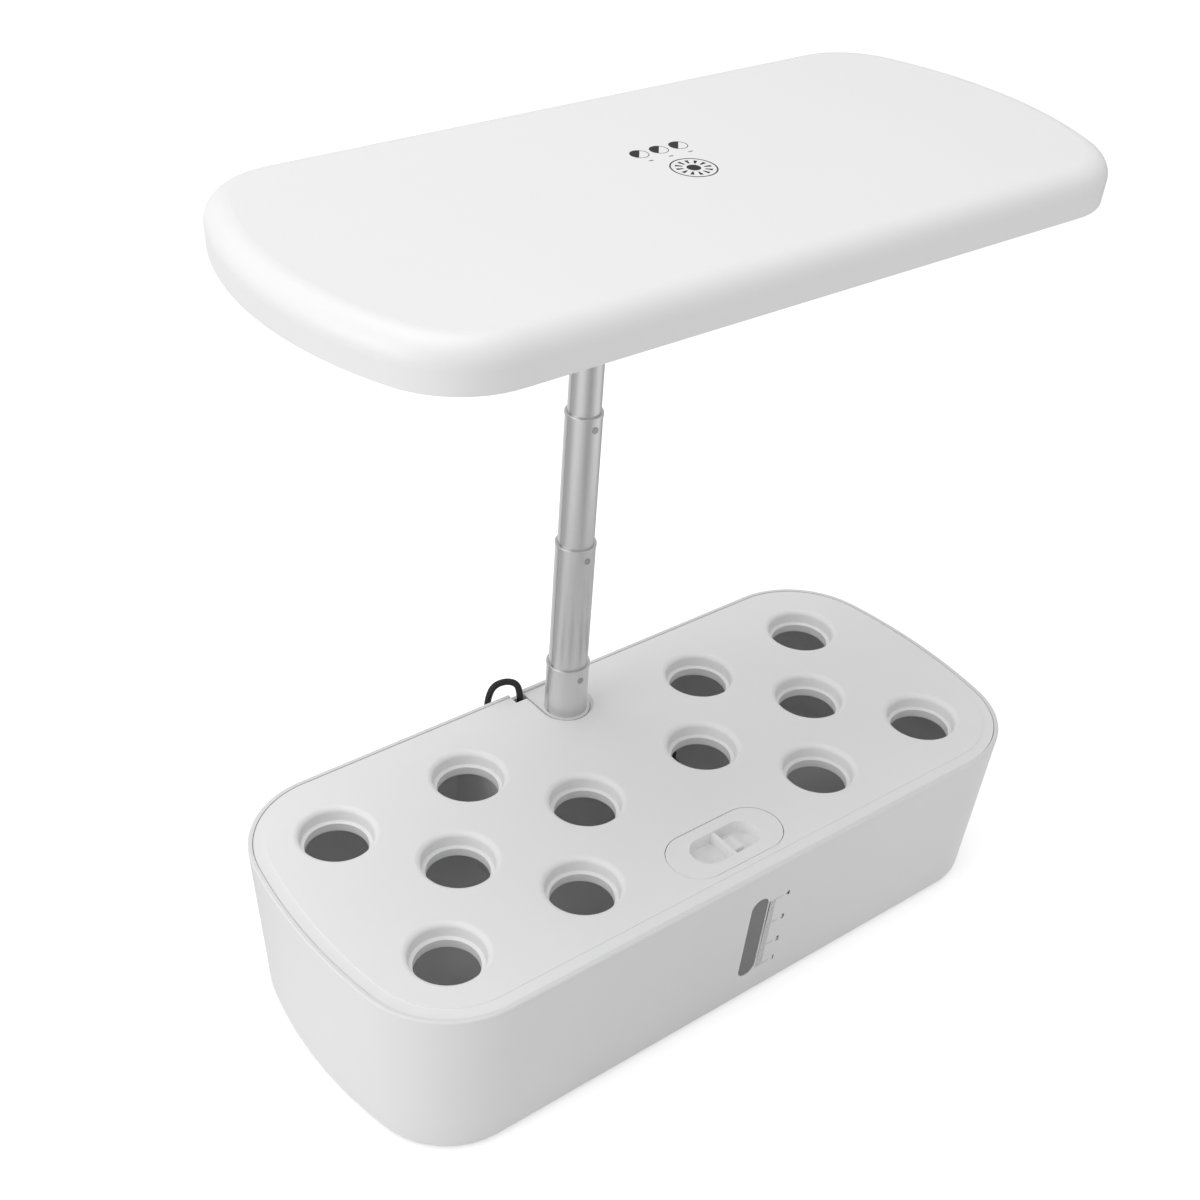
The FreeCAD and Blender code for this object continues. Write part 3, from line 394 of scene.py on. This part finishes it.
def timer_outlines(x):
    """A disc that is half full and half a thin ring."""
    full = circle(timer_radius, x, timer_turn, math.pi)
    first = timer_turn - math.pi + timer_gap
    outer = circle(timer_radius, x, first, math.pi - 2 * timer_gap)
    inner = circle(timer_radius - timer_line, x, first, math.pi - 2 * timer_gap)
    return [full, outer + inner[::-1]]


def make_lamp_marks():
    """Printed symbols round the lamp's touch field."""
    marks = {"print_sun": (sun_outlines(), sun_y)}
    for i, side in enumerate((-1, 0, 1), 1):
        marks["print_timer_%d" % i] = (timer_outlines(side * timer_pitch), timer_y)
    for name, (outlines, y) in marks.items():
        piece = ink(name, outlines)
        move_points(piece, lambda a, b, c: (mark_x + a, y + b, hood_top + ink_thickness / 2 + c))
        piece.data.materials.append(ink_dark)
        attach(piece, "lamp_head")


def wall_point(a, b, c):
    """A point of a flat print moved onto the casing's front wall."""
    height = deck_top + b
    start = Vector((a, before_wall_y, height))
    place = nodes["outer_casing"].ray_cast(start, Vector((0.0, 1.0, 0.0)))[1]
    return (a, place.y - ink_thickness / 2 - c, height)


def scale_outlines():
    """The scale's long line with its fine ticks and its four long ones."""
    edge = scale_x + scale_line
    outlines = [bar(scale_x, edge, -scale_low, -scale_high)]
    for i in range(1, int((scale_low - scale_high) / tick_pitch)):
        y = -scale_high - i * tick_pitch
        if min(abs(y + drop) for drop in level_drops.values()) > tick_pitch / 2:
            outlines.append(bar(edge, edge + tick_length, y - tick_line / 2, y + tick_line / 2))
    for drop in level_drops.values():
        outlines.append(bar(edge, edge + level_length, -drop - level_line / 2, -drop + level_line / 2))
    return outlines


def level_number(number, drop):
    """A plain number at its place beside the scale."""
    bpy.ops.object.select_all(action="DESELECT")
    bpy.ops.object.text_add(location=(0, 0, 0))
    label = bpy.context.object
    label.name = "print_level_%d" % number
    label.data.body = str(number)
    label.data.size = number_size
    label.data.extrude = ink_thickness / 2
    label.data.offset = number_weight
    label.data.align_y = "CENTER"
    label = as_mesh(label)
    move_points(label, lambda a, b, c: (number_x + a, b - drop, c))
    return label


def make_level_scale():
    """Printed scale and plain numbers beside the window."""
    pieces = [ink("print_level_scale", scale_outlines())]
    pieces += [level_number(number, drop) for number, drop in level_drops.items()]
    for piece in pieces:
        move_points(piece, wall_point)
        piece.data.materials.append(ink_grey)
        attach(piece, "base")


def make_lead():
    """The pump's lead: a round cable on the part's route."""
    data = bpy.data.curves.new("pump_cable", "CURVE")
    data.dimensions = "3D"
    data.bevel_depth = lead_diameter / 2
    data.bevel_resolution = lead_roundness
    data.resolution_u = lead_steps
    spline = data.splines.new("NURBS")
    spline.points.add(len(lead_route) - 1)
    for point, place in zip(spline.points, lead_route):
        point.co = (*place, 1.0)
    spline.order_u = 3
    spline.use_endpoint_u = True
    data.materials.append(finishes["cord_black"])
    piece = add("pump_cable", data)
    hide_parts("pump_lead")
    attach(piece, "base")


def make_camera():
    """The photograph's camera."""
    flat = math.cos(camera_elevation)
    back = Vector((math.sin(camera_azimuth) * flat, -math.cos(camera_azimuth) * flat,
                   math.sin(camera_elevation)))
    level = Vector((0, 0, 1)).cross(back).normalized()
    rise = back.cross(level)
    right = level * math.cos(camera_roll) + rise * math.sin(camera_roll)
    up = rise * math.cos(camera_roll) - level * math.sin(camera_roll)
    data = bpy.data.cameras.new("camera")
    data.sensor_width = sensor_mm
    data.lens = focal_pixels / image_pixels * sensor_mm
    data.clip_start = camera_near
    data.clip_end = camera_far
    camera = add("camera", data)
    place = right * camera_shift_right + up * camera_shift_up + back * camera_distance
    place.z += deck_top
    camera.matrix_world = Matrix.Translation(place) @ Matrix((right, up, back)).transposed().to_4x4()
    bpy.context.scene.camera = camera


def make_floor():
    """White floor that the camera sees as paper, with panels for what mirrors it."""
    bpy.ops.object.select_all(action="DESELECT")
    bpy.ops.mesh.primitive_plane_add(size=floor_size, location=(0, 0, 0))
    floor = bpy.context.object
    floor.name = "floor"
    paint = Paint(bpy.data.materials.new("floor_paper"))
    ray = paint.node("ShaderNodeLightPath")
    seen = ray.part("Is Camera Ray").math("MAXIMUM", ray.part("Is Transmission Ray"))
    matt = paint.node("ShaderNodeBsdfDiffuse", None, {"Color": floor_white})
    glow = paint.node("ShaderNodeEmission", None, {"Color": white, "Strength": floor_glow})
    both = paint.node("ShaderNodeAddShader", None, {0: matt, 1: glow})
    paper = paint.node("ShaderNodeMixShader", None, {0: seen, 1: matt, 2: both})
    way = paint.node("ShaderNodeSeparateXYZ", None, {"Vector": paint.place()})
    angle = (way.part("Y") - pole_centre_y).math("ARCTAN2", way.part("X"))
    band = (angle * panel_count + panel_turn).math("SINE") * 0.5 + 0.5
    dark = paint.node("ShaderNodeEmission", None, {"Strength": panel_dark})
    bright = paint.node("ShaderNodeEmission", None, {"Strength": panel_bright})
    panels = paint.node("ShaderNodeMixShader", None, {0: band, 1: dark, 2: bright})
    shader = paint.node("ShaderNodeMixShader", None, {0: ray.part("Is Glossy Ray"), 1: paper, 2: panels})
    paint.node("ShaderNodeOutputMaterial", None, {"Surface": shader})
    floor.data.materials.append(paint.owner)


def make_room():
    """A pale room that the camera sees as plain white."""
    world = bpy.data.worlds.new("room")
    bpy.context.scene.world = world
    paint = Paint(world)
    seen = paint.node("ShaderNodeLightPath").part("Is Camera Ray")
    paper = paint.node("ShaderNodeBackground", None, {"Color": white})
    room = paint.node("ShaderNodeBackground", None, {"Color": white, "Strength": room_strength})
    both = paint.node("ShaderNodeMixShader", None, {0: seen, 1: room, 2: paper})
    paint.node("ShaderNodeOutputWorld", None, {"Surface": both})


def make_lamps():
    """Soft rectangular lamps that aim at the object's middle."""
    for name, (place, size, watts) in lamps.items():
        data = bpy.data.lights.new(name, "AREA")
        data.shape = "RECTANGLE"
        data.size, data.size_y = size
        data.energy = watts
        lamp = add(name, data)
        lamp.location = place
        lamp.rotation_mode = "QUATERNION"
        lamp.rotation_quaternion = (Vector(lamp_aim) - Vector(place)).to_track_quat("-Z", "Y")


make_camera()
make_floor()
make_room()
make_lamps()
dress_frame()
make_lead()
make_lamp_marks()
make_level_scale()
bpy.context.scene.view_settings.view_transform = "Standard"
